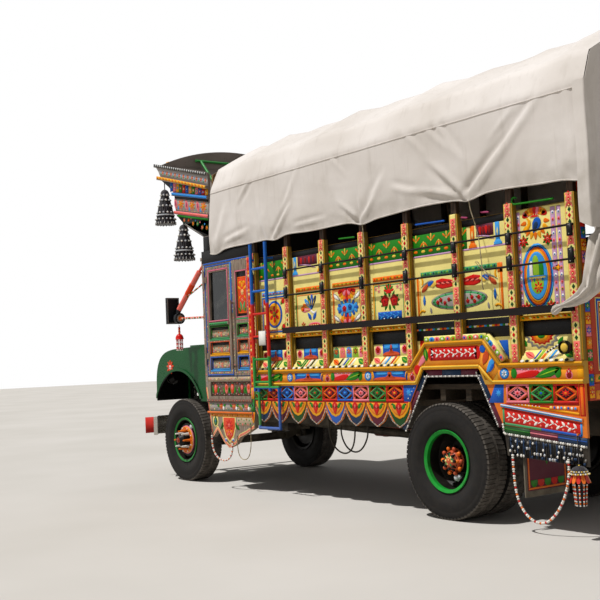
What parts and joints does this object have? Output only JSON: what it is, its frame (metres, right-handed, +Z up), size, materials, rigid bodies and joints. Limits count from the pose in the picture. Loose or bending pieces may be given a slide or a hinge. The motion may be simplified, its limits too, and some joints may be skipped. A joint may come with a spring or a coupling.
{
  "type": "decorated truck",
  "caption": "Bonneted two-axle cargo truck with a painted wooden body, a prow-shaped crown over the cab, a canvas cover and beaded trim.",
  "frame": {"origin": "on the ground, at the middle of the overall box", "axes": "+X forward, +Y to the truck's left side, +Z up"},
  "size_m": [7.51, 2.7896, 4.3198],
  "materials": {
    "black_metal": "chassis paint, dusty",
    "cast_iron": "oily",
    "green_paint": "glossy",
    "bright_metal": "worn",
    "lamp_glass": "clear",
    "clear_glass": "clear",
    "cab_wood": "carved, with painted borders",
    "body_paint": "painted with ornaments",
    "post_paint": "painted with flowers",
    "frieze_paint": "painted, pierced",
    "crown_paint": "painted boards with mouldings",
    "dark_rail": "black, satin",
    "floor_boards": "worn planks",
    "gate_paint": "painted boards",
    "bow_wood": "bare",
    "canvas": "weathered cotton canvas",
    "ladder_paint": "striped gloss",
    "tassel_thread": "black thread with silver",
    "flap_rubber": "dull",
    "tank_paint": "dusty",
    "seat_cover": "vinyl",
    "dash_paint": "satin",
    "wheel_grip": "smooth",
    "tyre_rubber": "dusty",
    "rim_paint": "green ring, dark dish, copper hub",
    "front_rim_paint": "dark disc, painted hub",
    "mirror_stay": "wrapped",
    "hose_rubber": "dull",
    "bead_string": "bright beads on a string",
    "rope_fibre": "twisted black rope"
  },
  "bodies": {
    "chassis": {"chassis_frame": "black_metal", "engine": "cast_iron", "prop_shaft": "black_metal", "front_axle": "black_metal", "rear_axle": "black_metal", "leaf_springs": "black_metal", "fuel_tank": "tank_paint", "front_bumper": "bright_metal", "nose_panel": "green_paint", "grille": "bright_metal", "front_wings": "green_paint", "headlamps": "lamp_glass", "cab_floor": "floor_boards", "cab_front": "cab_wood", "cab_back": "cab_wood", "cab_roof": "cab_wood", "cab_sides": "cab_wood", "windscreen": "clear_glass", "seat": "seat_cover", "dashboard": "dash_paint", "steering_wheel": "wheel_grip", "crown": "crown_paint", "crown_rack": "ladder_paint", "mirrors": "mirror_stay", "tassels": "tassel_thread", "cargo_floor": "floor_boards", "headboard": "body_paint", "side_walls": "body_paint", "side_posts": "post_paint", "top_rails": "body_paint", "guard_rails": "dark_rail", "skirts": "frieze_paint", "rear_frame": "gate_paint", "cover": "canvas", "cover_bows": "bow_wood", "ladder": "ladder_paint", "mudflaps": "flap_rubber", "air_hose": "hose_rubber", "brake_hose": "hose_rubber", "cab_garland": "bead_string", "cab_rope": "rope_fibre", "rear_garland": "bead_string"},
    "bonnet": {"bonnet": "green_paint"},
    "tailgate": {"tailgate": "gate_paint"},
    "door_left": {"door_left": "cab_wood", "door_glass_left": "clear_glass"},
    "door_right": {"door_right": "cab_wood", "door_glass_right": "clear_glass"},
    "knuckle_left": {"knuckle_left": "black_metal"},
    "front_left_wheel": {"front_left_rim": "front_rim_paint", "front_left_tyre": "tyre_rubber"},
    "rear_left_wheel": {"rear_left_rims": "rim_paint", "rear_left_tyres": "tyre_rubber"},
    "knuckle_right": {"knuckle_right": "black_metal"},
    "front_right_wheel": {"front_right_rim": "front_rim_paint", "front_right_tyre": "tyre_rubber"},
    "rear_right_wheel": {"rear_right_rims": "rim_paint", "rear_right_tyres": "tyre_rubber"}
  },
  "joints": [
    {"name": "steer_left", "type": "hinge", "parent": "chassis", "child": "knuckle_left", "pos_m": [2.855, 0.76, 0.515], "axis": [0, 0, 1], "range_deg": [-32, 32]},
    {"name": "front_left_spin", "type": "hinge", "parent": "knuckle_left", "child": "front_left_wheel", "pos_m": [2.855, 0.92, 0.515], "axis": [0, 1, 0], "continuous": true},
    {"name": "rear_left_spin", "type": "hinge", "parent": "chassis", "child": "rear_left_wheel", "pos_m": [-1.975, 0.925, 0.515], "axis": [0, 1, 0], "continuous": true},
    {"name": "door_left_hinge", "type": "hinge", "parent": "chassis", "child": "door_left", "pos_m": [1.94, 1.231, 1.975], "axis": [0, 0, -1], "range_deg": [0, 75]},
    {"name": "steer_right", "type": "hinge", "parent": "chassis", "child": "knuckle_right", "pos_m": [2.855, -0.76, 0.515], "axis": [0, 0, 1], "range_deg": [-32, 32]},
    {"name": "front_right_spin", "type": "hinge", "parent": "knuckle_right", "child": "front_right_wheel", "pos_m": [2.855, -0.92, 0.515], "axis": [0, 1, 0], "continuous": true},
    {"name": "rear_right_spin", "type": "hinge", "parent": "chassis", "child": "rear_right_wheel", "pos_m": [-1.975, -0.925, 0.515], "axis": [0, 1, 0], "continuous": true},
    {"name": "door_right_hinge", "type": "hinge", "parent": "chassis", "child": "door_right", "pos_m": [1.94, -1.231, 1.975], "axis": [0, 0, 1], "range_deg": [0, 75]},
    {"name": "bonnet_hinge", "type": "hinge", "parent": "chassis", "child": "bonnet", "pos_m": [2.009, 0, 1.885], "axis": [0, -1, 0], "range_deg": [0, 50]},
    {"name": "tailgate_hinge", "type": "hinge", "parent": "chassis", "child": "tailgate", "pos_m": [-3.566, 0, 1.179], "axis": [0, -1, 0], "range_deg": [0, 90]}
  ],
  "couplings": [
    {"joint": "steer_right", "follows": "steer_left", "ratio": 1}
  ]
}
